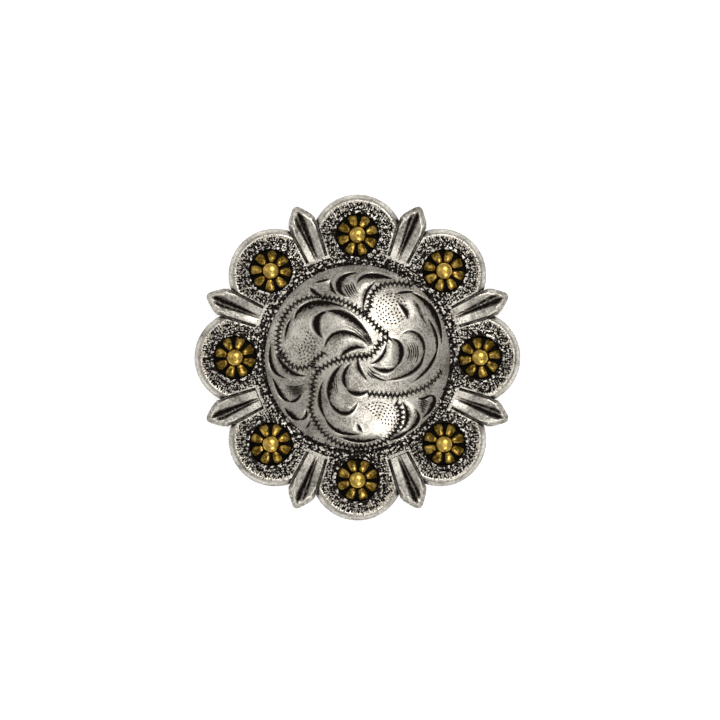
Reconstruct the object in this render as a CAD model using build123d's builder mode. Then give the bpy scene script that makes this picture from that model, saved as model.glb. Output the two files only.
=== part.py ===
from build123d import *
from collections import namedtuple
import math
import os

# A round scalloped concho: a die-cast plate with eight lobes, a leaf point
# between each two lobes and an engraved dome in the middle. A gold-coloured
# berry sits in a socket in each lobe, and a threaded post stands in a boss
# behind the dome. It lies face up: the back is the plane z = 0, the axis is Z
# and one lobe points along +Y. All sizes are in millimetres.

# Dome, hollow behind
dome_radius = 10.75
dome_rise = 3.0
dome_wall = 1.45
moat_width = 0.55
moat_depth = 0.4

# Lobes of the plate
lobe_count = 8
lobe_offset = 2.83  # from the dome's foot out to the middle of a lobe
lobe_radius = 5.42
lobe_height = 2.2
lobe_fall = 0.22  # the rim of a lobe lies this much lower than its middle
lobe_draft = 0.14  # the side wall leans in by this much
rim_round = 0.65

# Leaf points between the lobes
leaf_root_inset = 1.23  # the leaf starts this far inside the circle of the lobes
leaf_root_half_width = 1.3
leaf_shoulder_length = 4.45  # from the root to where the leaf is widest
leaf_shoulder_half_width = 1.76
leaf_tip_inset = 0.05  # the tips end this far inside the lobes' reach
leaf_tip_round = 0.8
leaf_drop = 0.25  # the leaf's top lies this much under the lobes' middles
leaf_bevel = 0.55
hub_overlap = 0.95  # the plate is solid this far past the leaves' roots
channel_depth = 0.75  # the lobes end in a wall of this height beside a leaf
vein_half_width = 0.36
vein_depth = 0.4

# Berries and their sockets
berry_offset = 0.64  # a berry sits this far out from the middle of its lobe
socket_radius = 2.8
socket_floor = 1.15
berry_clearance = 0.05
berry_foot_height = 0.35
petal_count = 8
petal_ledge = 0.33  # the foot stands out past the petals by this much
petal_rise = 1.15
petal_bulge = -0.3  # how far a petal's back curves out from straight
petal_gap_inner = 0.2
petal_gap_outer = 0.55
knob_radius = 0.92
knob_rise = 0.42
# how far each berry happens to be turned, in degrees, anticlockwise from the top lobe
berry_turns = (17.4, 41.5, 28, 24.5, 20, 20, 10, 29)

# Boss and threaded post behind the dome
thread_radius = 1.73  # plain hole of the size tapped for a number 8 screw
post_wall = 0.77
post_clearance = 0.05
post_recess = 0.25  # the post ends this far inside the back plane
post_cover = 1.15  # metal left between the post and the dome's top
thread_end_wall = 0.7
boss_wall = 1.45
boss_length = 1.9

# Scroll cuts in the dome. Each row has four points on the line of one cut, at
# its start, a third, two thirds and its end, and the greatest width. All are
# in squares of a chart that has 21.5 squares across the dome.
chart_squares = 21.5
cut_depth = 0.24
Cut = namedtuple("Cut", "start third two_thirds end width")
scroll_cuts = [
    # leaf at the upper left, from its outside in
    Cut((-7.6, 4.6), (-8.05, 3.8), (-8.3, 2.9), (-8.45, 1.9), 0.3),
    Cut((-7.3, 4.2), (-6.3, 5.9), (-4.1, 6.4), (-1.2, 5.7), 0.5),
    Cut((-4.0, 2.15), (-4.8, 3.4), (-4.7, 4.6), (-3.2, 5.45), 0.6),
    Cut((-3.8, 5.3), (-2.0, 5.25), (-0.2, 4.2), (1.6, 2.1), 0.55),
    Cut((-3.85, 0.7), (-2.9, 2.6), (-0.9, 2.85), (1.5, 1.25), 0.4),
    Cut((-2.1, 0.0), (-1.2, 0.75), (-0.2, 1.15), (0.9, 1.05), 0.4),
    # leaflets along the top
    Cut((-5.6, 8.25), (-5.25, 7.75), (-4.75, 7.35), (-3.9, 7.15), 0.42),
    Cut((-5.0, 8.65), (-4.4, 8.8), (-3.8, 8.95), (-3.1, 9.1), 0.25),
    Cut((-3.15, 9.0), (-3.05, 8.3), (-2.8, 7.75), (-2.25, 7.15), 0.35),
    Cut((0.2, 9.85), (-1.8, 9.25), (-2.25, 8.05), (-1.0, 7.0), 0.55),
    Cut((-0.15, 8.3), (0.85, 9.45), (2.5, 9.5), (4.3, 9.05), 0.5),
    Cut((2.3, 9.0), (1.35, 8.0), (0.85, 6.9), (0.6, 5.35), 0.34),
    # leaf at the right, from its outside in
    Cut((4.3, 7.3), (5.1, 7.55), (5.9, 7.62), (6.75, 7.7), 0.34),
    Cut((6.5, 7.7), (8.2, 6.3), (9.4, 4.3), (9.75, 1.3), 0.42),
    Cut((4.7, 6.35), (5.25, 5.75), (5.65, 5.1), (5.8, 4.4), 0.4),
    Cut((8.05, 4.6), (9.0, 3.3), (9.35, 1.8), (9.1, 0.2), 0.34),
    Cut((9.15, 0.45), (8.6, -0.85), (7.6, -2.0), (5.95, -3.1), 0.34),
    Cut((5.2, 2.7), (6.6, 3.0), (7.6, 1.9), (7.7, 0.2), 0.34),
    Cut((7.75, 0.6), (7.1, -1.0), (5.5, -2.2), (3.1, -2.7), 0.36),
    Cut((3.6, -2.72), (2.6, -2.5), (1.8, -2.05), (1.15, -1.4), 0.24),
    Cut((3.75, 2.2), (4.95, 1.5), (5.1, 0.1), (4.15, -1.3), 0.45),
    Cut((4.6, -0.95), (3.7, -1.5), (2.7, -1.5), (1.6, -0.95), 0.4),
    Cut((3.35, 1.7), (3.05, 0.5), (2.35, -0.35), (1.4, -0.75), 0.34),
    # leaf at the bottom, from its outside in
    Cut((-3.95, -2.55), (-4.4, -4.3), (-4.25, -5.9), (-3.4, -7.5), 0.4),
    Cut((-3.9, -6.6), (-2.9, -8.15), (-1.4, -8.85), (0.5, -8.85), 0.42),
    Cut((-0.05, -7.65), (0.15, -8.0), (0.35, -8.35), (0.6, -8.75), 0.3),
    Cut((-1.6, -0.7), (-2.8, -2.0), (-3.35, -3.7), (-3.1, -5.3), 0.46),
    Cut((-3.3, -4.6), (-2.6, -6.0), (-1.2, -6.5), (0.1, -5.0), 0.4),
    Cut((-0.6, -0.6), (-1.45, -1.6), (-1.6, -2.75), (-0.95, -3.8), 0.42),
    Cut((-1.3, -3.45), (-0.6, -4.1), (0.4, -4.2), (1.35, -3.75), 0.4),
    Cut((0.05, 0.35), (0.1, -0.9), (0.5, -1.8), (1.3, -2.9), 0.34),
    Cut((-2.3, -9.05), (-0.7, -9.6), (1.0, -9.7), (2.8, -9.2), 0.42),
    # leaflets at the lower left
    Cut((-10.05, 1.8), (-10.15, -0.2), (-9.55, -1.7), (-7.9, -2.48), 0.42),
    Cut((-9.5, 0.6), (-8.7, -0.7), (-7.4, -1.8), (-5.8, -2.1), 0.42),
    Cut((-9.95, -2.2), (-9.3, -3.6), (-8.6, -4.7), (-7.5, -5.15), 0.45),
    Cut((-8.2, -5.05), (-7.45, -5.1), (-6.9, -4.75), (-6.25, -3.95), 0.36),
    Cut((-8.55, -5.7), (-7.9, -6.55), (-7.2, -7.1), (-6.4, -7.15), 0.48),
    Cut((-6.9, -7.2), (-6.25, -7.1), (-5.9, -6.65), (-6.0, -5.95), 0.36),
    Cut((-5.3, -7.1), (-5.55, -7.55), (-5.8, -8.0), (-6.05, -8.35), 0.26),
    # leaflets at the lower right
    Cut((5.1, -5.05), (5.7, -6.2), (5.6, -7.6), (4.65, -8.75), 0.38),
    Cut((6.65, -6.0), (7.1, -6.95), (6.6, -7.95), (5.4, -8.85), 0.42),
    Cut((6.1, -8.35), (5.35, -8.9), (4.5, -9.35), (3.5, -9.6), 0.36),
    Cut((6.9, -4.65), (7.6, -4.75), (8.2, -4.5), (8.9, -4.45), 0.28),
    Cut((8.4, -4.4), (8.95, -4.85), (8.6, -5.9), (7.35, -7.25), 0.45),
]

# What follows from the sizes
sector = 360 / lobe_count
first_lobe_angle = 90
dome_top = lobe_height + dome_rise
sphere_radius = (dome_radius**2 + dome_rise**2) / (2 * dome_rise)
sphere_drop = sphere_radius - dome_top  # the dome's centre of curvature is this far down
hollow_ceiling = dome_top - dome_wall
hollow_radius = sphere_radius - dome_wall
hollow_mouth = math.sqrt(hollow_radius**2 - sphere_drop**2)
square = 2 * dome_radius / chart_squares
lobe_circle = dome_radius + lobe_offset
berry_circle = lobe_circle + berry_offset
leaf_root = lobe_circle - leaf_root_inset
leaf_shoulder = leaf_root + leaf_shoulder_length
leaf_tip = lobe_circle + lobe_radius - leaf_tip_inset
leaf_height = lobe_height - leaf_drop
foot_base = socket_floor + berry_clearance
foot_radius = socket_radius - berry_clearance
petal_base = foot_base + berry_foot_height
petal_top = petal_base + petal_rise
petal_reach = foot_radius - petal_ledge
post_radius = thread_radius + post_wall
post_top = dome_top - post_cover
thread_depth = post_top - post_recess - thread_end_wall
boss_radius = post_radius + post_clearance + boss_wall
over = 1.0  # cutters stand out of what they cut by this much


def along_chart(point):
    """A point of the chart, in millimetres from the dome's axis."""
    return Vector(point[0] * square, point[1] * square)


def cut_edges(cut):
    """The two curved edges of one cut, which part in the middle and meet at both ends."""
    a, b, c, d = map(along_chart, (cut.start, cut.third, cut.two_thirds, cut.end))
    pull_a = (a * -5 + b * 18 + c * -9 + d * 2) / 6
    pull_d = (a * 2 + b * -9 + c * 18 + d * -5) / 6
    aside = cut.width * square * 2 / 3
    aside_a = (c - a).normalized().rotate(Axis.Z, 90) * aside
    aside_d = (d - b).normalized().rotate(Axis.Z, 90) * aside
    return (
        (a, pull_a + aside_a, pull_d + aside_d, d),
        (a, pull_a - aside_a, pull_d - aside_d, d),
    )


# One lobe, as a round pad: a slightly domed top, a rounded rim and a side wall
# that leans in towards the front
with BuildPart() as lobe_pad:
    with BuildSketch(Plane.XZ) as lobe_half:
        with BuildLine():
            Polyline(
                (0, 0),
                (lobe_radius, 0),
                (lobe_radius - lobe_draft, lobe_height - lobe_fall),
                (0, lobe_height),
                close=True,
            )
        make_face()
        rim_corner = lobe_half.vertices().sort_by(Axis.X)[-2:].sort_by(Axis.Y)[-1]
        fillet(rim_corner, rim_round)
    revolve(axis=Axis.Z)

# Outline of one leaf, along +X: from its root to the shoulder and the round tip
with BuildSketch() as leaf_outline:
    with BuildLine():
        Line((leaf_root, -leaf_root_half_width), (leaf_root, leaf_root_half_width))
        Line(
            (leaf_shoulder, -leaf_shoulder_half_width),
            (leaf_shoulder, leaf_shoulder_half_width),
        )
        CenterArc((leaf_tip - leaf_tip_round, 0), leaf_tip_round, 0, 360)
    make_hull()

# The leaf itself: bevelled all round its top, with a tapering vein cut
with BuildPart() as leaf:
    extrude(leaf_outline.sketch, amount=leaf_height)
    chamfer(leaf.faces().sort_by(Axis.Z)[-1].edges(), leaf_bevel)
    with BuildSketch(Plane.XY.offset(leaf_height)):
        Polygon(
            (leaf_root + leaf_bevel, 0),
            (leaf_shoulder, -vein_half_width),
            (leaf_tip - leaf_tip_round, 0),
            (leaf_shoulder, vein_half_width),
            align=None,
        )
    extrude(amount=-vein_depth, taper=35, mode=Mode.SUBTRACT)

# The scroll cuts, as one cutter whose floor follows the dome
with BuildSketch() as scroll_plan:
    for scroll_cut in scroll_cuts:
        with BuildLine():
            for edge in cut_edges(scroll_cut):
                Bezier(*edge)
        make_face()

with BuildPart() as scroll_cutter:
    extrude(scroll_plan.sketch, amount=dome_top + over)
    with Locations((0, 0, -sphere_drop)):
        Sphere(sphere_radius + over, mode=Mode.INTERSECT)
        Sphere(sphere_radius - cut_depth, mode=Mode.SUBTRACT)

# The cast body
with BuildPart() as body:
    with BuildSketch():
        Circle(leaf_root + hub_overlap)
    extrude(amount=lobe_height)
    with PolarLocations(lobe_circle, lobe_count, start_angle=first_lobe_angle):
        add(lobe_pad.part)
    with PolarLocations(0, lobe_count, start_angle=first_lobe_angle + sector / 2):
        add(
            extrude(
                leaf_outline.sketch.moved(Pos(0, 0, lobe_height - channel_depth)),
                amount=channel_depth + over,
                mode=Mode.PRIVATE,
            ),
            mode=Mode.SUBTRACT,
        )
    with PolarLocations(0, lobe_count, start_angle=first_lobe_angle + sector / 2):
        add(leaf.part)
    # moat at the foot of the dome
    with BuildSketch(Plane.XZ):
        with BuildLine():
            Polyline(
                (dome_radius, lobe_height + over),
                (dome_radius, lobe_height - moat_depth),
                (dome_radius + moat_width / 2, lobe_height - moat_depth),
                (dome_radius + moat_width, lobe_height),
                (dome_radius + moat_width, lobe_height + over),
                close=True,
            )
        make_face()
    revolve(axis=Axis.Z, mode=Mode.SUBTRACT)
    # dome
    with BuildSketch(Plane.XZ):
        with BuildLine():
            Polyline((dome_radius, lobe_height), (dome_radius, 0), (0, 0), (0, dome_top))
            RadiusArc((0, dome_top), (dome_radius, lobe_height), sphere_radius)
        make_face()
    revolve(axis=Axis.Z)
    # sockets for the berries
    with PolarLocations(berry_circle, lobe_count, start_angle=first_lobe_angle):
        with Locations((0, 0, socket_floor)):
            Cylinder(
                socket_radius,
                dome_top,
                align=(Align.CENTER, Align.CENTER, Align.MIN),
                mode=Mode.SUBTRACT,
            )
    # hollow back, with the boss left standing in it
    with BuildSketch(Plane.XZ):
        with BuildLine():
            Polyline(
                (0, hollow_ceiling),
                (0, -over),
                (hollow_mouth, -over),
                (hollow_mouth, 0),
            )
            RadiusArc((0, hollow_ceiling), (hollow_mouth, 0), hollow_radius)
        make_face()
    revolve(axis=Axis.Z, mode=Mode.SUBTRACT)
    with Locations((0, 0, hollow_ceiling - boss_length)):
        Cylinder(
            boss_radius,
            boss_length,
            align=(Align.CENTER, Align.CENTER, Align.MIN),
        )
    with Locations((0, 0, -over)):
        Cylinder(
            post_radius + post_clearance,
            post_top + post_clearance + over,
            align=(Align.CENTER, Align.CENTER, Align.MIN),
            mode=Mode.SUBTRACT,
        )
    add(scroll_cutter.part, mode=Mode.SUBTRACT)

body.part.label = "concho_body"

# One berry, cast in one piece: a foot in the socket, a ring of petals that
# slopes down from the middle, and a round knob
with BuildPart() as berry:
    with BuildSketch(Plane.XZ):
        with BuildLine():
            Polyline(
                (0, petal_top + knob_rise),
                (0, foot_base),
                (foot_radius, foot_base),
                (foot_radius, petal_base),
                (petal_reach, petal_base),
            )
            SagittaArc((petal_reach, petal_base), (knob_radius, petal_top), petal_bulge)
            RadiusArc(
                (knob_radius, petal_top),
                (0, petal_top + knob_rise),
                -(knob_radius**2 + knob_rise**2) / (2 * knob_rise),
            )
        make_face()
    revolve(axis=Axis.Z)
    with BuildSketch(Plane.XY.offset(petal_base)):
        with PolarLocations(0, petal_count, start_angle=180 / petal_count):
            Polygon(
                (knob_radius, -petal_gap_inner / 2),
                (socket_radius, -petal_gap_outer / 2),
                (socket_radius, petal_gap_outer / 2),
                (knob_radius, petal_gap_inner / 2),
                align=None,
            )
    extrude(amount=petal_rise, mode=Mode.SUBTRACT)

# The post: a plain turned bush with a blind threaded hole
with BuildPart() as screw_post:
    with Locations((0, 0, post_recess)):
        Cylinder(
            post_radius,
            post_top - post_recess,
            align=(Align.CENTER, Align.CENTER, Align.MIN),
        )
        Cylinder(
            thread_radius,
            thread_depth,
            align=(Align.CENTER, Align.CENTER, Align.MIN),
            mode=Mode.SUBTRACT,
        )
screw_post.part.label = "screw_post"

os.makedirs("parts", exist_ok=True)
export_step(body.part, "parts/concho_body.step")
export_step(screw_post.part, "parts/screw_post.step")
berry_places = PolarLocations(berry_circle, lobe_count, start_angle=first_lobe_angle)
for number, place in enumerate(berry_places, start=1):
    turn = berry_turns[(number - 1) % len(berry_turns)]
    set_berry = berry.part.moved(place * Rot(0, 0, turn))
    set_berry.label = f"berry_{number}"
    export_step(set_berry, f"parts/{set_berry.label}.step")
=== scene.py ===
import math
import random
from collections import namedtuple

import bpy
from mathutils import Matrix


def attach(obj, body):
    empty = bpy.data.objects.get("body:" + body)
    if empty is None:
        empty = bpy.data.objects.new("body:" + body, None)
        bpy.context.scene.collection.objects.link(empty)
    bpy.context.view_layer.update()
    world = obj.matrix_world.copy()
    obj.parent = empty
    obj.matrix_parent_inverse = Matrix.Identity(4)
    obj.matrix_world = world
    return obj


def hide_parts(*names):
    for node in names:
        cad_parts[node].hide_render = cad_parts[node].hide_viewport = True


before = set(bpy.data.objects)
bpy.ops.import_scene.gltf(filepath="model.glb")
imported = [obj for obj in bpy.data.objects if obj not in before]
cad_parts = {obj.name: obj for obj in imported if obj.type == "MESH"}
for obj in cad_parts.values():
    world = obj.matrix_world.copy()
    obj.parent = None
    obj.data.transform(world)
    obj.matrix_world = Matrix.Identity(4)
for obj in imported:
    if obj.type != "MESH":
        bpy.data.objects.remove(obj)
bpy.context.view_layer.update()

# Plate blank
# The real concho is one zinc casting: a flat-backed plate with eight round
# lobes. Here it is turned and joined in millimetres with its middle still
# flat, so that every cut can be made before the dome is raised.
lobe_count = 8
sector = 2 * math.pi / lobe_count
top_lobe = math.pi / 2
dome_radius = 10.75
moat_radius = 11.25
moat_floor = 1.9
moat_slope = 0.25
moat_room = 0.1
hub_radius = 13.3
hub_height = 2.13
hub_cap = 1.0
flat_height = 2.2
clear_above = 3.0
plug_base = 1.0
lobe_circle = 13.58
lobe_sides = 112
hub_sides = 160
dome_ring_step = 0.43
weld_gap = 0.0001
# radius and height of a lobe, from its back up the rounded side to its middle
lobe_rows = [
    (5.41, 0.0),
    (5.4, 0.35),
    (5.35, 0.95),
    (5.25, 1.4),
    (5.08, 1.77),
    (4.9, 1.99),
    (4.74, 2.09),
    (4.6, 2.11),
    (4.46, 2.08),
    (4.36, 2.04),
    (3.9, 2.06),
    (3.3, 2.11),
    (2.5, 2.16),
    (1.5, 2.19),
    (0.6, 2.2),
]


def pick(piece):
    """Selects one object alone and makes it the active one."""
    bpy.ops.object.select_all(action="DESELECT")
    piece.select_set(True)
    bpy.context.view_layer.objects.active = piece


def clean_shell(piece):
    """Merges doubled points and turns all faces outwards."""
    pick(piece)
    bpy.ops.object.mode_set(mode="EDIT")
    bpy.ops.mesh.select_all(action="SELECT")
    bpy.ops.mesh.remove_doubles(threshold=weld_gap)
    bpy.ops.mesh.normals_make_consistent(inside=False)
    bpy.ops.object.mode_set(mode="OBJECT")


def turned(name, rows, sides):
    """A round solid, drawn up ring by ring through rows of radius and height."""
    bpy.ops.object.select_all(action="DESELECT")
    bpy.ops.mesh.primitive_circle_add(
        vertices=sides, radius=rows[0][0], fill_type="NGON", location=(0, 0, rows[0][1])
    )
    piece = bpy.context.object
    piece.name = name
    bpy.ops.object.transform_apply()
    bpy.ops.object.mode_set(mode="EDIT")
    bpy.ops.mesh.select_all(action="SELECT")
    for (radius, height), (next_radius, next_height) in zip(rows, rows[1:]):
        grow = next_radius / radius
        bpy.ops.mesh.extrude_region_move(
            TRANSFORM_OT_translate={"value": (0, 0, next_height - height)}
        )
        bpy.ops.transform.resize(value=(grow, grow, 1), center_override=(0, 0, next_height))
    bpy.ops.mesh.poke()
    bpy.ops.object.mode_set(mode="OBJECT")
    clean_shell(piece)
    return piece


def placed(piece, angle, radius):
    """A copy of the piece with its own mesh, out at this radius and angle."""
    pick(piece)
    bpy.ops.object.duplicate()
    copy = bpy.context.object
    copy.location = (radius * math.cos(angle), radius * math.sin(angle), 0)
    copy.rotation_euler = (0, 0, angle)
    bpy.ops.object.transform_apply()
    return copy


def combine(piece, tool, operation):
    """Joins the tool to the piece or cuts it out, and uses the tool up."""
    pick(piece)
    change = piece.modifiers.new("change", "BOOLEAN")
    change.solver = "MANIFOLD"
    change.operation = operation
    change.object = tool
    bpy.ops.object.modifier_apply(modifier=change.name)
    bpy.data.objects.remove(tool)


dome_rings = int(dome_radius / dome_ring_step)
hub_rows = [(hub_radius, 0.0), (hub_radius, hub_height), (hub_cap, hub_height)]
moat_rows = [
    (moat_radius - moat_slope, moat_floor),
    (moat_radius + moat_room, flat_height + moat_room),
    (moat_radius + moat_room, clear_above),
]
plug_rows = [(dome_radius, plug_base)]
plug_rows += [
    (dome_radius * (dome_rings - ring) / dome_rings, flat_height)
    for ring in range(dome_rings)
]
body = turned("concho_casting", hub_rows, hub_sides)
lobe = turned("lobe", lobe_rows, lobe_sides)
lobe_angles = [top_lobe + sector * number for number in range(lobe_count)]
leaf_angles = [angle + sector / 2 for angle in lobe_angles]
for angle in lobe_angles:
    combine(body, placed(lobe, angle, lobe_circle), "UNION")
bpy.data.objects.remove(lobe)
combine(body, turned("moat", moat_rows, hub_sides), "DIFFERENCE")
combine(body, turned("dome_plug", plug_rows, hub_sides), "UNION")

# Leaf points
# Between two lobes the casting has a pointed leaf: two sloping flanks, a thin
# rib and two grooves that run together at its root. The lobes stop short of it,
# which leaves a dark channel on either side.
leaf_root = 12.3
leaf_tip = 18.95
leaf_crest = 1.98
leaf_stations = 34
leaf_columns = 38
channel_floor = 1.3
channel_room = 0.18
shoulder = 17.0
shoulder_slope = 0.8
# distance from the axis and half width of the leaf there
leaf_half_widths = [
    (12.3, 1.16),
    (14.0, 1.34),
    (16.0, 1.56),
    (17.0, 1.64),
    (17.6, 1.38),
    (18.1, 1.0),
    (18.5, 0.68),
    (18.8, 0.42),
    (18.95, 0.16),
]
# distance from the axis and width of the leaf's bevelled border there
bevel_widths = [(12.3, 0.18), (16.0, 0.22), (17.0, 0.48), (18.95, 0.66)]
bevel_depth = 0.7
# middle, half width and depth of the flanks' fall from the rib and of the two
# grooves, with places across the leaf as shares of its half width
leaf_flanks = (0.0, 0.72, 0.1)
leaf_grooves = [(-0.1, 0.32, 0.5), (0.38, 0.2, 0.4)]
groove_fade = 0.2
root_fade = 0.12
root_opening = 0.35


def between(rows, place):
    """The second column of a table at this place in its first column."""
    for (low, start), (high, end) in zip(rows, rows[1:]):
        if place <= high:
            share = (place - low) / (high - low)
            return start + (end - start) * max(0.0, share)
    return rows[-1][1]


def groove(across, middle, half_width, depth):
    """Depth of a V groove at this place across it."""
    return depth * max(0.0, 1 - abs(across - middle) / half_width)


def inset(reach, to_edge):
    """How far inside its outline a place on the leaf is, square to the outline."""
    return to_edge * (shoulder_slope if reach > shoulder else 1.0)


def leaf_height(along, across):
    """Height of the leaf's face. Along runs 0 to 1 from root to tip, across -1 to 1."""
    reach = leaf_root + (leaf_tip - leaf_root) * along
    inside = inset(reach, (1 - abs(across)) * between(leaf_half_widths, reach))
    bevel = between(bevel_widths, reach)
    height = leaf_crest - bevel_depth * max(0.0, 1 - inside / bevel)
    height -= groove(across, *leaf_flanks)
    spread = min(1.0, max(0.0, (inside - bevel) / groove_fade)) * min(1.0, along / root_fade)
    opening = root_opening + (1 - root_opening) * along
    for middle, half_width, depth in leaf_grooves:
        height -= spread * groove(across, middle * opening, half_width * opening, depth)
    return height


def leaf_solid(name, room, height_at, base):
    """A leaf-shaped solid from its base up to height_at, made wider by the room."""
    bpy.ops.object.select_all(action="DESELECT")
    bpy.ops.mesh.primitive_grid_add(
        x_subdivisions=leaf_stations, y_subdivisions=leaf_columns, size=2
    )
    piece = bpy.context.object
    piece.name = name
    for point in piece.data.vertices:
        along = (point.co.x + 1) / 2
        across = point.co.y
        reach = leaf_root + (leaf_tip - leaf_root) * along
        half_width = between(leaf_half_widths, reach) + room
        point.co = (reach, across * half_width, height_at(along, across))
    bpy.ops.object.mode_set(mode="EDIT")
    bpy.ops.mesh.select_all(action="SELECT")
    bpy.ops.mesh.extrude_region()
    bpy.ops.transform.resize(value=(1, 1, 0), center_override=(0, 0, base))
    bpy.ops.object.mode_set(mode="OBJECT")
    clean_shell(piece)
    return piece


channel = leaf_solid("channel", channel_room, lambda along, across: clear_above, channel_floor)
for angle in leaf_angles:
    combine(body, placed(channel, angle, 0), "DIFFERENCE")
bpy.data.objects.remove(channel)
leaf = leaf_solid("leaf", 0.0, leaf_height, 0.0)
for angle in leaf_angles:
    combine(body, placed(leaf, angle, 0), "UNION")
bpy.data.objects.remove(leaf)

# Sockets
# Each lobe has a round socket for its berry, a little outside the lobe's
# middle. Its edge is raised and pressed in over the rim of the berry's foot.
berry_circle = 14.22
socket_radius = 2.8
socket_floor = 1.15
socket_mouth = 2.52
lip_rows = [(2.92, 1.5), (2.88, 2.17), (2.8, 2.21), (2.7, 2.22), (2.6, 2.21)]
socket_rows = [(socket_radius, socket_floor), (socket_radius, 1.7), (socket_mouth, 1.86)]
socket_rows += [(socket_mouth, 2.12), (2.62, 2.6)]
lip = turned("socket_lip", lip_rows, lobe_sides)
socket = turned("socket", socket_rows, lobe_sides)
for angle in lobe_angles:
    combine(body, placed(lip, angle, berry_circle), "UNION")
for angle in lobe_angles:
    combine(body, placed(socket, angle, berry_circle), "DIFFERENCE")
bpy.data.objects.remove(lip)
bpy.data.objects.remove(socket)

# Scroll cuts
# The dome is engraved with leaf scrolls. A graver leaves a cut that is steep on
# one side, with a low burr along it, and slopes up gently on the other, pointed
# at both ends.
Cut = namedtuple("Cut", "start third two_thirds end width slope")
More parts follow.
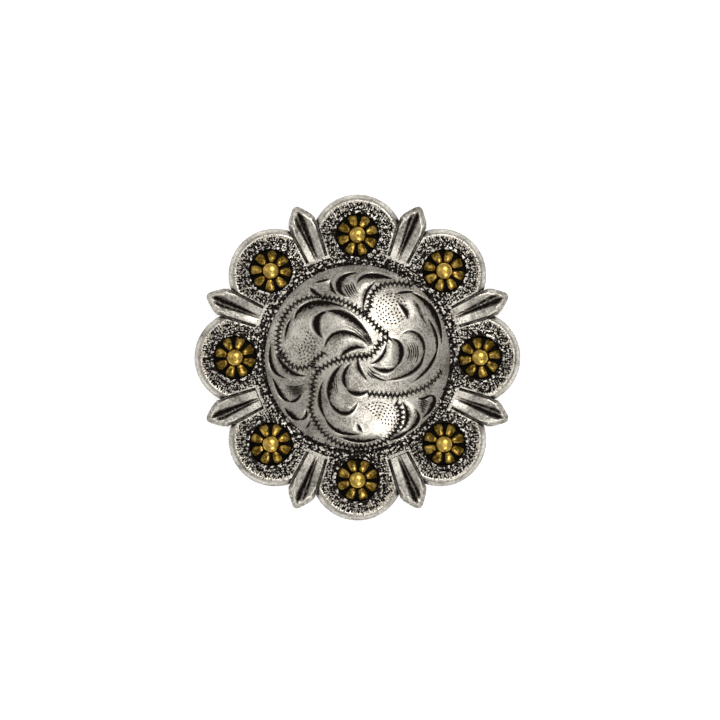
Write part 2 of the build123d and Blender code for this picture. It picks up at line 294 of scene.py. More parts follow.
# width is the greatest width, and slope says which side is gentle: 1 short or
# 2 broad to the left of the line, -1 or -2 to its right, 0 neither
scroll_cuts = [
    # leaf at the upper left, from its outside in
    Cut((-7.6, 4.6), (-8.05, 3.8), (-8.3, 2.9), (-8.45, 1.9), 0.3, 2),
    Cut((-7.3, 4.2), (-6.3, 5.9), (-4.1, 6.4), (-1.2, 5.7), 0.5, -2),
    Cut((-4.0, 2.15), (-4.8, 3.4), (-4.7, 4.6), (-3.2, 5.45), 0.6, -1),
    Cut((-3.8, 5.3), (-2.0, 5.25), (-0.2, 4.2), (1.6, 2.1), 0.55, -1),
    Cut((-3.85, 0.7), (-2.9, 2.6), (-0.9, 2.85), (1.5, 1.25), 0.4, -2),
    Cut((-2.1, 0.0), (-1.2, 0.75), (-0.2, 1.15), (0.9, 1.05), 0.4, 2),
    # leaflets along the top
    Cut((-5.6, 8.25), (-5.25, 7.75), (-4.75, 7.35), (-3.9, 7.15), 0.42, 1),
    Cut((-5.0, 8.65), (-4.4, 8.8), (-3.8, 8.95), (-3.1, 9.1), 0.25, 0),
    Cut((-3.15, 9.0), (-3.05, 8.3), (-2.8, 7.75), (-2.25, 7.15), 0.35, -2),
    Cut((0.2, 9.85), (-1.8, 9.25), (-2.25, 8.05), (-1.0, 7.0), 0.55, 1),
    Cut((-0.15, 8.3), (0.85, 9.45), (2.5, 9.5), (4.3, 9.05), 0.5, -1),
    Cut((2.3, 9.0), (1.35, 8.0), (0.85, 6.9), (0.6, 5.35), 0.34, -2),
    # leaf at the right, from its outside in
    Cut((4.3, 7.3), (5.1, 7.55), (5.9, 7.62), (6.75, 7.7), 0.34, -1),
    Cut((5.7, 7.75), (8.0, 6.4), (9.35, 4.25), (9.8, 1.0), 0.5, -1),
    Cut((4.7, 6.35), (5.25, 5.75), (5.65, 5.1), (5.8, 4.4), 0.4, 2),
    Cut((7.95, 4.75), (8.9, 3.2), (9.25, 1.5), (8.85, -0.2), 0.36, -1),
    Cut((9.22, 1.6), (8.9, -0.1), (7.75, -1.75), (5.95, -3.1), 0.36, -1),
    Cut((5.1, 2.7), (6.75, 2.85), (7.68, 1.5), (7.45, -0.5), 0.36, -1),
    Cut((7.7, 1.2), (7.3, -0.75), (5.8, -2.0), (3.1, -2.7), 0.38, -1),
    Cut((3.6, -2.72), (2.6, -2.5), (1.8, -2.05), (1.15, -1.4), 0.24, 0),
    Cut((3.75, 2.2), (4.95, 1.5), (5.1, 0.1), (4.15, -1.3), 0.45, -2),
    Cut((4.6, -0.95), (3.7, -1.5), (2.7, -1.5), (1.6, -0.95), 0.4, -1),
    Cut((3.35, 1.7), (3.05, 0.5), (2.35, -0.35), (1.4, -0.75), 0.34, 2),
    # leaf at the bottom, from its outside in
    Cut((-3.95, -2.55), (-4.4, -4.3), (-4.25, -5.9), (-3.4, -7.5), 0.4, 1),
    Cut((-3.9, -6.6), (-2.9, -8.15), (-1.4, -8.85), (0.5, -8.85), 0.42, 1),
    Cut((-0.05, -7.65), (0.15, -8.0), (0.35, -8.35), (0.6, -8.75), 0.3, -2),
    Cut((-1.6, -0.7), (-2.8, -2.0), (-3.35, -3.7), (-3.1, -5.3), 0.46, 2),
    Cut((-3.3, -4.6), (-2.6, -6.0), (-1.2, -6.5), (0.1, -5.0), 0.4, 1),
    Cut((-0.6, -0.6), (-1.45, -1.6), (-1.6, -2.75), (-0.95, -3.8), 0.42, 1),
    Cut((-1.3, -3.45), (-0.6, -4.1), (0.4, -4.2), (1.35, -3.75), 0.4, 1),
    Cut((0.05, 0.35), (0.1, -0.9), (0.5, -1.8), (1.3, -2.9), 0.34, -2),
    Cut((-2.3, -9.05), (-0.7, -9.6), (1.0, -9.7), (2.8, -9.2), 0.42, 1),
    # leaflets at the lower left
    Cut((-10.05, 1.8), (-10.15, -0.2), (-9.55, -1.7), (-7.9, -2.48), 0.42, 1),
    Cut((-9.5, 0.6), (-8.7, -0.7), (-7.4, -1.8), (-5.8, -2.1), 0.42, -2),
    Cut((-9.95, -2.2), (-9.3, -3.6), (-8.6, -4.7), (-7.5, -5.15), 0.45, 1),
    Cut((-8.2, -5.05), (-7.45, -5.1), (-6.9, -4.75), (-6.25, -3.95), 0.36, 1),
    Cut((-8.55, -5.7), (-7.9, -6.55), (-7.2, -7.1), (-6.4, -7.15), 0.48, 1),
    Cut((-6.9, -7.2), (-6.25, -7.1), (-5.9, -6.65), (-6.0, -5.95), 0.36, 1),
    Cut((-5.3, -7.1), (-5.55, -7.55), (-5.8, -8.0), (-6.05, -8.35), 0.26, 2),
    # leaflets at the lower right
    Cut((5.1, -5.05), (5.7, -6.2), (5.6, -7.6), (4.65, -8.75), 0.38, 2),
    Cut((6.65, -6.0), (7.1, -6.95), (6.6, -7.95), (5.4, -8.85), 0.42, -1),
    Cut((6.1, -8.35), (5.35, -8.9), (4.5, -9.35), (3.5, -9.6), 0.36, -1),
    Cut((6.9, -4.65), (7.6, -4.75), (8.2, -4.5), (8.9, -4.45), 0.28, 0),
    Cut((8.4, -4.4), (8.95, -4.85), (8.6, -5.9), (7.35, -7.25), 0.45, -1),
]
# sections of the graver's cut, one width wide, steep on the right
graver_sections = {
    0: [(-0.62, 0.4), (-0.5, 0.0), (-0.15, -0.8), (0.15, -0.8), (0.5, 0.0), (0.58, 0.4)],
    1: [
        (-1.7, 0.3),
        (-1.3, 0.0),
        (-0.48, -0.27),
        (-0.14, -0.62),
        (0.14, -0.62),
        (0.38, -0.16),
        (0.56, 0.0),
        (0.66, 0.4),
    ],
    2: [
        (-2.7, 0.3),
        (-2.1, 0.0),
        (-0.5, -0.3),
        (-0.14, -0.66),
        (0.14, -0.66),
        (0.38, -0.16),
        (0.56, 0.0),
        (0.66, 0.4),
    ],
}
# the burr beside the steep side
burr_section = [(0.1, -0.3), (0.5, 0.13), (0.75, 0.14), (1.15, 0.0), (1.2, -0.3)]
cut_steps = 14
graver_bite = 1.2
taper_steps = 16
taper_end = 0.03
taper_fullness = 0.6


def flat_curve(name, points, closed):
    """A flat curve of straight runs through these points."""
    bpy.ops.object.select_all(action="DESELECT")
    bpy.ops.curve.primitive_bezier_curve_add()
    piece = bpy.context.object
    piece.name = name
    piece.data.splines.clear()
    line = piece.data.splines.new("POLY")
    line.points.add(len(points) - 1)
    for point, (x, y) in zip(line.points, points):
        point.co = (x, y, 0, 1)
    line.use_cyclic_u = closed
    piece.data.dimensions = "2D"
    return piece


taper_rows = []
for step in range(taper_steps + 1):
    share = step / taper_steps
    taper_rows.append((share, max(taper_end, math.sin(math.pi * share) ** taper_fullness)))
cut_taper = flat_curve("cut_taper", taper_rows, False)
gravers = {}
for slope, section in graver_sections.items():
    gravers[slope] = flat_curve(f"graver_{slope}", section, True)
    if slope:
        mirrored_section = [(-x, y) for x, y in reversed(section)]
        gravers[-slope] = flat_curve(f"graver_left_{slope}", mirrored_section, True)
burr_right = flat_curve("burr_right", burr_section, True)
burr_left = flat_curve("burr_left", [(-x, y) for x, y in reversed(burr_section)], True)


def handles(cut):
    """The two pulls of the smooth line that runs through a cut's four points."""
    a, b, c, d = cut.start, cut.third, cut.two_thirds, cut.end
    first = [(-5 * a[i] + 18 * b[i] - 9 * c[i] + 2 * d[i]) / 6 for i in (0, 1)]
    second = [(2 * a[i] - 9 * b[i] + 18 * c[i] - 5 * d[i]) / 6 for i in (0, 1)]
    return first, second


def graver_path(cut, section):
    """The solid that a section sweeps along one cut."""
    bpy.ops.object.select_all(action="DESELECT")
    bpy.ops.curve.primitive_bezier_curve_add()
    piece = bpy.context.object
    piece.name = "graver_path"
    first, second = handles(cut)
    start, end = piece.data.splines[0].bezier_points
    for point in (start, end):
        point.handle_left_type = "FREE"
        point.handle_right_type = "FREE"
        point.radius = cut.width * graver_bite
    start.co = (*cut.start, flat_height)
    start.handle_right = (*first, flat_height)
    end.handle_left = (*second, flat_height)
    end.co = (*cut.end, flat_height)
    line = piece.data
    line.dimensions = "3D"
    line.twist_mode = "Z_UP"
    line.resolution_u = cut_steps
    line.bevel_mode = "OBJECT"
    line.bevel_object = section
    line.taper_object = cut_taper
    line.taper_radius_mode = "MULTIPLY"
    line.use_fill_caps = True
    bpy.ops.object.convert(target="MESH")
    clean_shell(piece)
    return piece


def joined_paths(cuts, section_of):
    """The solids along all these cuts, joined to one tool."""
    tool = graver_path(cuts[0], section_of(cuts[0]))
    for cut in cuts[1:]:
        combine(tool, graver_path(cut, section_of(cut)), "UNION")
    return tool


burrs = joined_paths(scroll_cuts, lambda cut: burr_left if cut.slope < 0 else burr_right)
combine(body, burrs, "UNION")
combine(body, joined_paths(scroll_cuts, lambda cut: gravers[cut.slope]), "DIFFERENCE")

# Fine cuts
# Between the scrolls the engraver walked the graver from corner to corner, which
# leaves zigzag bands, and shaded the leaves with hair lines, arcs and dots.
hair_width = 0.17
Fan = namedtuple("Fan", "first last lines width", defaults=[hair_width])
hair_fans = [
    # top leaf
    Fan(
        ((-1.78, 8.65), (-1.5, 8.0), (-1.2, 7.45), (-0.8, 6.95)),
        ((-0.6, 8.85), (-0.45, 8.35), (-0.25, 7.9), (0.05, 7.45)),
        5,
    ),
    # leaf at the left
    Fan(
        ((-8.75, -3.15), (-7.8, -3.35), (-6.9, -3.35), (-6.1, -3.0)),
        ((-7.75, -4.6), (-7.1, -4.5), (-6.5, -4.2), (-5.95, -3.65)),
        7,
    ),
    # leaf at the lower right
    Fan(
        ((6.9, -4.8), (7.45, -4.9), (8.0, -5.05), (8.5, -5.3)),
        ((7.35, -6.15), (7.5, -6.25), (7.65, -6.4), (7.8, -6.5)),
        7,
    ),
    # leaf at the right, along it and where it runs into the centre
    Fan(
        ((5.55, 1.75), (5.95, 1.0), (5.95, 0.2), (5.6, -0.6)),
        ((6.45, 1.9), (6.95, 1.1), (6.95, 0.0), (6.5, -0.85)),
        5,
    ),
    Fan(
        ((1.15, -0.95), (1.6, -1.55), (2.1, -1.85), (2.7, -2.0)),
        ((1.05, -1.5), (1.3, -1.95), (1.65, -2.25), (2.1, -2.5)),
        3,
    ),
    # leaf at the upper left, where it runs into the centre
    Fan(
        ((0.35, 2.9), (0.85, 2.35), (1.25, 1.8), (1.6, 1.3)),
        ((0.9, 3.05), (1.25, 2.5), (1.55, 2.0), (1.8, 1.5)),
        4,
    ),
    # leaf at the bottom
    Fan(
        ((-2.95, -2.2), (-3.1, -3.0), (-3.0, -3.8), (-2.6, -4.6)),
        ((-2.2, -1.5), (-2.45, -2.5), (-2.4, -3.5), (-2.05, -4.5)),
        4,
    ),
    # crossed lines in the upper right leaf
    Fan(
        ((6.2, 6.9), (6.6, 6.5), (7.0, 6.1), (7.4, 5.7)),
        ((7.1, 4.9), (7.5, 4.5), (7.8, 4.1), (8.1, 3.7)),
        8,
    ),
    # streaks along the upper left leaf
    Fan(
        ((-2.0, 4.75), (-0.6, 4.25), (0.6, 3.15), (1.75, 1.5)),
        ((-1.7, 3.7), (-0.5, 3.2), (0.55, 2.4), (1.5, 1.4)),
        4,
        0.13,
    ),
]
Ripple = namedtuple("Ripple", "centre inner outer rings start sweep")
# arcs of dots round a centre: radii in millimetres, angles in degrees
dot_ripples = [
    Ripple((3.95, 5.65), 0.35, 1.75, 5, 0, 360),
    Ripple((2.4, -7.5), 0.5, 2.3, 6, -10, 150),
    Ripple((-6.8, 1.3), 0.4, 1.9, 5, -80, 150),
]
dot_pitch = 0.44
dot_length = 0.36
dot_width = 0.24
dot_depth = 0.2
wriggle_pitch = 0.265
wriggle_slant = math.radians(62)
wriggle_length = 1.4
wriggle_width = 0.34
wriggle_depth = 0.3
wriggle_bands = [
    # round the upper left leaf to the right of the centre
    [
        (-9.0, 0.0), (-9.2, 1.5), (-9.1, 3.3), (-8.2, 5.2), (-6.6, 6.6), (-4.5, 6.95),
        (-2.4, 6.7), (-0.6, 5.9), (1.2, 4.6), (2.6, 3.2), (3.6, 2.5),
    ],
    [(-8.9, 0.6), (-8.1, -0.5), (-7.3, -1.1), (-6.2, -1.2), (-5.2, -0.8)],
    # from the centre round the bottom leaf
    [
        (0.9, 0.2), (-1.2, -0.1), (-3.0, -0.6), (-4.6, -1.6), (-5.1, -2.8), (-5.3, -4.6),
        (-5.45, -6.0), (-4.9, -7.4), (-4.0, -8.7), (-2.5, -9.8), (-0.8, -10.4), (1.0, -10.4),
        (2.6, -10.0), (4.0, -9.0), (4.9, -7.6), (4.9, -6.1), (4.4, -5.1),
    ],
    [(-3.9, 0.5), (-4.6, 0.0), (-5.2, -0.5), (-4.9, -1.2)],
    # under the right leaf
    [(1.3, -4.2), (3.0, -4.3), (4.6, -4.4), (6.3, -4.0), (7.9, -3.4), (9.0, -2.5), (9.7, -1.6)],
    # along the top leaflets to the right leaf
    [
        (0.8, 4.9), (1.4, 5.9), (1.5, 6.9), (2.1, 7.8), (3.0, 8.4), (4.4, 8.6),
        (5.6, 8.5), (6.5, 8.3),
    ],
    # round the middle
    [(3.7, 2.2), (2.6, 1.7), (2.1, 0.8), (1.2, 0.15), (0.0, 0.1)],
]
walk_steps = 12
fewest_dots = 3
# how unevenly a hand cuts: widths and depths, lengths, and the turn of a stroke
uneven = (0.85, 1.15)
uneven_length = (0.9, 1.1)
uneven_turn = (-0.08, 0.08)


def fan_lines(fan):
    """The hair lines of a fan, from its first to its last."""
    for number in range(fan.lines):
        share = number / (fan.lines - 1)
        points = [
            tuple(a[i] + (b[i] - a[i]) * share for i in (0, 1))
            for a, b in zip(fan.first, fan.last)
        ]
        yield Cut(*points, fan.width, 0)


def walk(points, pitch):
    """Places and headings at an even pitch along a smooth line through the points."""
    ends = [points[0], *points, points[-1]]
    trail = []
    for a, b, c, d in zip(ends, ends[1:], ends[2:], ends[3:]):
        for step in range(walk_steps):
            t = step / walk_steps
            trail.append(
                tuple(
                    b[i]
                    + 0.5 * t * (c[i] - a[i])
                    + t * t * (a[i] - 2.5 * b[i] + 2 * c[i] - 0.5 * d[i])
                    + 0.5 * t**3 * (3 * b[i] - 3 * c[i] + d[i] - a[i])
                    for i in (0, 1)
                )
            )
    trail.append(points[-1])
    left = 0.0
    for here, there in zip(trail, trail[1:]):
        run = math.dist(here, there)
        heading = math.atan2(there[1] - here[1], there[0] - here[0])
        while left < run:
            share = left / run
            yield (
                here[0] + (there[0] - here[0]) * share,
                here[1] + (there[1] - here[1]) * share,
                heading,
            )
            left += pitch
        left -= run


# one nick, a unit long, wide and deep, to be sized and turned at each spot
nick_half = 0.625
nick_apart = 0.01
bpy.ops.object.select_all(action="DESELECT")
bpy.ops.mesh.primitive_cone_add(
    vertices=4, radius1=0, radius2=nick_half, depth=2 * nick_half, location=(0, 0, nick_half - 1)
)
nick = bpy.context.object
nick.name = "nick"
bpy.ops.object.transform_apply()
Spot = namedtuple("Spot", "x y z turn length width depth")

nick_layout = bpy.data.node_groups.new("nick_layout", "GeometryNodeTree")
nick_layout.interface.new_socket("Spots", in_out="INPUT", socket_type="NodeSocketGeometry")
nick_layout.interface.new_socket("Nicks", in_out="OUTPUT", socket_type="NodeSocketGeometry")
spots_in = nick_layout.nodes.new("NodeGroupInput")
nicks_out = nick_layout.nodes.new("NodeGroupOutput")
nick_in = nick_layout.nodes.new("GeometryNodeObjectInfo")
nick_in.inputs["Object"].default_value = nick
set_out = nick_layout.nodes.new("GeometryNodeInstanceOnPoints")
made_real = nick_layout.nodes.new("GeometryNodeRealizeInstances")
nick_layout.links.new(spots_in.outputs[0], set_out.inputs["Points"])
nick_layout.links.new(nick_in.outputs["Geometry"], set_out.inputs["Instance"])
for attribute, socket_name in (("nick_turn", "Rotation"), ("nick_size", "Scale")):
    reading = nick_layout.nodes.new("GeometryNodeInputNamedAttribute")
    reading.data_type = "FLOAT_VECTOR"
    reading.inputs["Name"].default_value = attribute
    nick_layout.links.new(reading.outputs["Attribute"], set_out.inputs[socket_name])
nick_layout.links.new(set_out.outputs[0], made_real.inputs[0])
nick_layout.links.new(made_real.outputs[0], nicks_out.inputs[0])


def nick_extent(spot, heading):
    """How far a nick, seen from above, reaches from its middle in one direction."""
    turn = heading - spot.turn
    return nick_half * max(spot.length * abs(math.cos(turn)), spot.width * abs(math.sin(turn)))


def nicks_meet(one, other):
    """Whether two nicks overlap, seen from above."""
    x, y = other.x - one.x, other.y - one.y
    if math.hypot(x, y) > nick_half * (one.length + other.length) + nick_apart:
        return False
    for spot in (one, other):
        lean = math.atan2(spot.length, spot.width)
        for heading in (spot.turn + lean, spot.turn - lean):
            away = abs(x * math.cos(heading) + y * math.sin(heading))
            room = nick_extent(one, heading) + nick_extent(other, heading)
            if away > room + nick_apart:
                return False
    return True


def nick_sets(spots):
    """Sorts nicks into sets in which no two overlap, so that each set is a sound tool."""
    sets = []
    for spot in spots:
        for chosen in sets:
            if not any(nicks_meet(spot, other) for other in chosen):
                chosen.append(spot)
                break
        else:
            sets.append([spot])
    return sets


def nick_tool(spots):
    """One mesh with a nick at each spot."""
    points = bpy.data.meshes.new("nick_spots")
    points.from_pydata([(spot.x, spot.y, spot.z) for spot in spots], [], [])
    turns = points.attributes.new("nick_turn", "FLOAT_VECTOR", "POINT")
    sizes = points.attributes.new("nick_size", "FLOAT_VECTOR", "POINT")
    for number, spot in enumerate(spots):
        turns.data[number].vector = (0, 0, spot.turn)
        sizes.data[number].vector = (spot.length, spot.width, spot.depth)
    field = bpy.data.objects.new("nick_field", points)
    bpy.context.collection.objects.link(field)
    pick(field)
    layout = field.modifiers.new("layout", "NODES")
    layout.node_group = nick_layout
    bpy.ops.object.modifier_apply(modifier=layout.name)
    for left_over in [item.name for item in field.data.attributes if item.name.startswith("nick_")]:
        field.data.attributes.remove(field.data.attributes[left_over])
    clean_shell(field)
    return field


def cut_nicks(piece, spots):
    """Cuts one nick into the piece at each spot."""
    for chosen in nick_sets(spots):
        combine(piece, nick_tool(chosen), "DIFFERENCE")


hair_lines = [line for fan in hair_fans for line in fan_lines(fan)]
combine(body, joined_paths(hair_lines, lambda cut: gravers[0]), "DIFFERENCE")

dice = random.Random(8)
strokes = []
for band in wriggle_bands:
    for number, (x, y, heading) in enumerate(walk(band, wriggle_pitch)):
        slant = wriggle_slant if number % 2 else -wriggle_slant
        strokes.append(
            Spot(
                x,
                y,
                flat_height,
                heading + slant + dice.uniform(*uneven_turn),
                wriggle_length * dice.uniform(*uneven_length),
                wriggle_width * dice.uniform(*uneven),
                wriggle_depth * dice.uniform(*uneven),
            )
        )
cut_nicks(body, strokes)

dots = []
for ripple in dot_ripples:
    for ring in range(ripple.rings):
        radius = ripple.inner + (ripple.outer - ripple.inner) * ring / (ripple.rings - 1)
        sweep = math.radians(ripple.sweep)
        count = max(fewest_dots, int(radius * sweep / dot_pitch))
        for number in range(count):
            angle = math.radians(ripple.start) + sweep * number / count
            dots.append(
                Spot(
                    ripple.centre[0] + radius * math.cos(angle),
                    ripple.centre[1] + radius * math.sin(angle),
                    flat_height,
                    angle + math.pi / 2,
                    dot_length,
                    dot_width,
                    dot_depth * dice.uniform(*uneven),
                )
            )
cut_nicks(body, dots)

# Stippled ground
# The lobes and the plate round the moat have a matted ground of close punch
# marks, which holds the black antiquing.
mark_pitch = 0.28
mark_length = (0.3, 0.54)
rim_length = (0.45, 0.75)
mark_width = (0.2, 0.3)
mark_depth = (0.15, 0.19)
lobe_crest = 4.74
field_outer = 4.42
first_ring = 4
radial_from = 4.1
ground_inner = 11.62
ground_outer = 13.1
reed_radius = 11.02
reed_pitch = 0.36
reed_length = 0.9
reed_width = 0.3
reed_depth = 0.42
leaf_clear = 0.34
mark_room = 0.3
# how far the punch strays: along a ring in marks and in radians, across it, in turn
stray_along = (-0.2, 0.2)
reed_stray = (-0.006, 0.006)
stray_across = (-0.05, 0.05)
stray_turn = (-0.3, 0.3)
reed_turn = (-0.2, 0.2)


def beside_leaf(x, y):
    """How far out along the nearest leaf a place is, and how far beside its edge."""
    angle = math.atan2(y, x)
    turn = (angle - leaf_angles[0] + sector / 2) % sector - sector / 2
    reach = math.hypot(x, y)
    along = reach * math.cos(turn)
    return along, abs(reach * math.sin(turn)) - between(leaf_half_widths, along)


def clear_of_leaf(x, y):
    """Whether a place lies far enough from every leaf for a punch mark."""
    along, beside = beside_leaf(x, y)
    return along < leaf_root - leaf_clear or beside > leaf_clear


def away_from(circle, x, y):
    """Distance to the nearest of the lobes' or berries' middles, which lie on a circle."""
    return min(
        math.dist((x, y), (circle * math.cos(angle), circle * math.sin(angle)))
        for angle in lobe_angles
    )


lobe_tops = sorted((radius, height) for radius, height in lobe_rows if radius <= lobe_crest)


def plate_top(x, y):
    """Height of the plate's front where nothing is cut into it."""
    if math.hypot(x, y) < dome_radius:
        return flat_height
    away = away_from(lobe_circle, x, y)
    lobe_top = between(lobe_tops, away) if away < lobe_tops[-1][0] else 0.0
    hub_top = hub_height if math.hypot(x, y) < hub_radius else 0.0
    return max(lobe_top, hub_top)


def mark(x, y, z, turn, lengths):
    """One punch mark of a chance length, width and depth."""
    sizes = [dice.uniform(*limits) for limits in (lengths, mark_width, mark_depth)]
    return Spot(x, y, z, turn, *sizes)


def lobe_marks(angle):
    """Marks in rings on one lobe, with radial ones near its rim."""
    middle = (lobe_circle * math.cos(angle), lobe_circle * math.sin(angle))
    berry = (berry_circle * math.cos(angle), berry_circle * math.sin(angle))
    rings = int(field_outer / mark_pitch)
    for ring in range(first_ring, rings + 1):
        radius = field_outer - (rings - ring) * mark_pitch
        count = 2 * int(math.pi * radius / mark_pitch)
        for number in range(count):
            around = 2 * math.pi * (number + dice.uniform(*stray_along)) / count
            away = radius + dice.uniform(*stray_across)
            x = middle[0] + away * math.cos(around)
            y = middle[1] + away * math.sin(around)
            turn = around + dice.uniform(*stray_turn)
            lengths = rim_length
            if radius < radial_from:
                turn = dice.uniform(0, math.pi)
                lengths = mark_length
            if math.dist((x, y), berry) < socket_mouth + mark_room:
                continue
            if math.hypot(x, y) < ground_outer or not clear_of_leaf(x, y):
                continue
            yield mark(x, y, between(lobe_tops, away), turn, lengths)


def ground_marks():
    """Marks in rings on the plate between the moat and the lobes."""
    rings = int((ground_outer - ground_inner) / mark_pitch)
    for ring in range(rings + 1):
        radius = ground_inner + ring * mark_pitch
        count = 2 * int(math.pi * radius / mark_pitch)
        for number in range(count):
            around = 2 * math.pi * (number + dice.uniform(*stray_along)) / count
            x = radius * math.cos(around)
            y = radius * math.sin(around)
            turn = dice.uniform(0, math.pi)
            beside_berry = away_from(berry_circle, x, y) < socket_mouth + mark_room
            if clear_of_leaf(x, y) and not beside_berry:
                yield mark(x, y, plate_top(x, y), turn, mark_length)


reed_count = int(2 * math.pi * reed_radius / reed_pitch)
marks = []
for number in range(reed_count):
    around = 2 * math.pi * number / reed_count + dice.uniform(*reed_stray)
    marks.append(
        Spot(
            reed_radius * math.cos(around),
            reed_radius * math.sin(around),
            flat_height,
            around + dice.uniform(*reed_turn),
            reed_length,
            reed_width,
            reed_depth * dice.uniform(*uneven),
        )
    )
for angle in lobe_angles:
    marks += lobe_marks(angle)
marks += ground_marks()
cut_nicks(body, marks)
for tool in (nick, cut_taper, burr_left, burr_right, *gravers.values()):
    bpy.data.objects.remove(tool)

# Antiquing, painted light and dome
# The casting is dipped black and polished off, so the black stays where the
# metal lies deep. Painted shade and painted highlights are laid into the same
# value. Then the middle is raised to its dome and hollowed behind, with a boss
# left for the post.
sphere_radius = 20.76
sphere_drop = 15.56
dome_top = 5.1998
dome_from = 0.5
dome_skin = 0.01
wall_skin = 0.05
leaf_skin = 0.02
back_face = 0.3
# black patina and painted shade in each place, from 0 bright to 1 black, and below 0 a painted
# highlight
painted_highlight = -0.3
back_soot = 0.14
side_shade = 0.21
rim_shade = 0.3
moat_soot = 0.42
bevel_shade = 0.28
facet_shade = 0.27
channel_soot = 0.6
lip_edge_dark = 0.6
lip_dark = 0.3
# depth at which the black starts, and over which it grows from 0 to 1
soot_start = 0.02
soot_depth = 0.25
moat_dark = 0.5625
groove_start = 0.12
groove_dark = 0.75
mark_black = 0.13
# where each kind of place begins or ends
rim_from = 10.0
bevel_share = 0.8
ridge_width = 0.16
ridge_from = 15.8
facet_from = 13.2
channel_top = 2.0
undercut_top = 1.87
lip_edge = 0.25
lip_width = 0.45
lip_top = 2.05
rim_highlight_out = 4.72
side_from = 4.6
side_fade = 0.35
low_shade_top = 1.65
low_shade_slope = 0.16
# shade on the stippled ground: most of it beside a berry and beside the moat
berry_shade = 0.4
berry_reach = 0.9
moat_shade = 0.38
moat_reach = 1.3
ground_lowest = 1.6
hub_edge = 0.2


def soot(x, y, z):
    """How dark a place on the plate is, up to 1 black, from black patina and painted shade, and
    below 0 where a highlight is painted.
    """
    reach = math.hypot(x, y)
    if z < back_face:
        return back_soot
    if reach < dome_radius - dome_skin:
        # painted shade: darker towards the dome's edge beside the moat; the depth term below is the
        # black patina in the cuts
        rim = rim_shade * max(0.0, (reach - rim_from) / (dome_radius - rim_from))
        return (flat_height - z - soot_start) / soot_depth + rim
    if reach < moat_radius:
        return moat_soot + (hub_height - z) / moat_dark
    along, beside = beside_leaf(x, y)
    if along > leaf_root and beside < leaf_skin:
        bevel = between(bevel_widths, along)
        inside = inset(along, -beside)
        # painted shade: the sloping bevel round the leaf is painted mid grey
        if inside < bevel_share * bevel:
            return bevel_shade
        # painted highlight: a bright line along the inner edge of the bevel towards the leaf's tip
        if inside < bevel + ridge_width and along > ridge_from:
            return painted_highlight
        # painted shade on the leaf's sloping faces, growing towards the tip; the groove term adds
        # black patina
        facet = facet_shade * min(1.0, max(0.0, along - facet_from))
        return facet + max(0.0, leaf_crest - groove_start - z) / groove_dark
    if along > leaf_root and beside < channel_room + wall_skin and z < channel_top:
        return channel_soot
    berry_away = away_from(berry_circle, x, y)
    if berry_away < socket_mouth + wall_skin:
        return 1.0
    if berry_away < socket_radius + wall_skin and z < undercut_top:
        return 1.0
    # the raised lip round each socket is darkened, most at its inner edge
    if berry_away < socket_mouth + lip_edge:
        return lip_edge_dark
    if berry_away < socket_mouth + lip_width and z > lip_top:
        return lip_dark
    away = away_from(lobe_circle, x, y)
    # painted highlight: a bright line along the inner edge of each lobe's rounded rim
    if field_outer < away < rim_highlight_out and reach > hub_radius:
        return painted_highlight
    # painted shade on the lobes' sides, darker towards the bottom
    if away > side_from and reach > hub_radius:
        low_shade = low_shade_slope * max(0.0, low_shade_top - z)
        return side_shade * min(1.0, (away - side_from) / side_fade) + low_shade
    shade = berry_shade * max(0.0, 1 - (berry_away - socket_mouth) / berry_reach)
    shade += moat_shade * max(0.0, 1 - (reach - moat_radius) / moat_reach)
    return max(0.0, plate_top(x, y) - z) / mark_black + shade


def is_matted(x, y, z):
    """1 on the stippled ground and 0 on the bright metal."""
    reach = math.hypot(x, y)
    if reach < dome_radius or z < ground_lowest or not clear_of_leaf(x, y):
        return 0.0
    if reach < moat_radius:
        return 1.0
    on_field = away_from(lobe_circle, x, y) < field_outer
    return 1.0 if on_field or reach < hub_radius - hub_edge else 0.0


black = body.data.attributes.new("soot", "FLOAT", "POINT")
matted = body.data.attributes.new("ground", "FLOAT", "POINT")
for point in body.data.vertices:
    x, y, z = point.co
    matted.data[point.index].value = is_matted(x, y, z)
    black.data[point.index].value = min(1.0, max(painted_highlight, soot(x, y, z)))
    reach = math.hypot(x, y)
    if reach < dome_radius and z > dome_from:
        lift = math.sqrt(sphere_radius**2 - reach**2) - sphere_drop - flat_height
        point.co.z = min(dome_top, z + lift)

hollow_radius = 19.31
hollow_mouth = 11.44
boss_radius = 4.0
boss_bottom = 1.85
boss_chamfer = 0.15
boss_buried = 6.0
clear_below = -0.5
bore_radius = 2.55
bore_top = 4.1
hollow_steps = 20
to_metres = 0.001
casting_smooth = math.radians(32)
hollow_rows = [(hollow_mouth, clear_below), (hollow_mouth, 0.0)]
for step in range(1, hollow_steps):
    radius = hollow_mouth * (1 - step / hollow_steps)
    hollow_rows.append((radius, math.sqrt(hollow_radius**2 - radius**2) - sphere_drop))
hollow = turned("hollow", hollow_rows, lobe_sides)
boss_rows = [
    (boss_radius - boss_chamfer, boss_bottom),
    (boss_radius, boss_bottom + boss_chamfer),
    (boss_radius, boss_buried),
]
combine(hollow, turned("boss", boss_rows, lobe_sides), "DIFFERENCE")
bore = turned("bore", [(bore_radius, 2 * clear_below), (bore_radius, bore_top)], lobe_sides)
combine(hollow, bore, "UNION")
combine(body, hollow, "DIFFERENCE")

# chips that the nicks have cut free are swept off
pick(body)
bpy.ops.mesh.separate(type="LOOSE")
parts = sorted(bpy.context.selected_objects, key=lambda part: len(part.data.vertices))
for chip in parts[:-1]:
    bpy.data.objects.remove(chip)
body = parts[-1]
body.name = "concho_casting"
pick(body)
body.scale = (to_metres, to_metres, to_metres)
bpy.ops.object.transform_apply(location=False, rotation=False, scale=True)
bpy.ops.object.shade_smooth_by_angle(angle=casting_smooth)


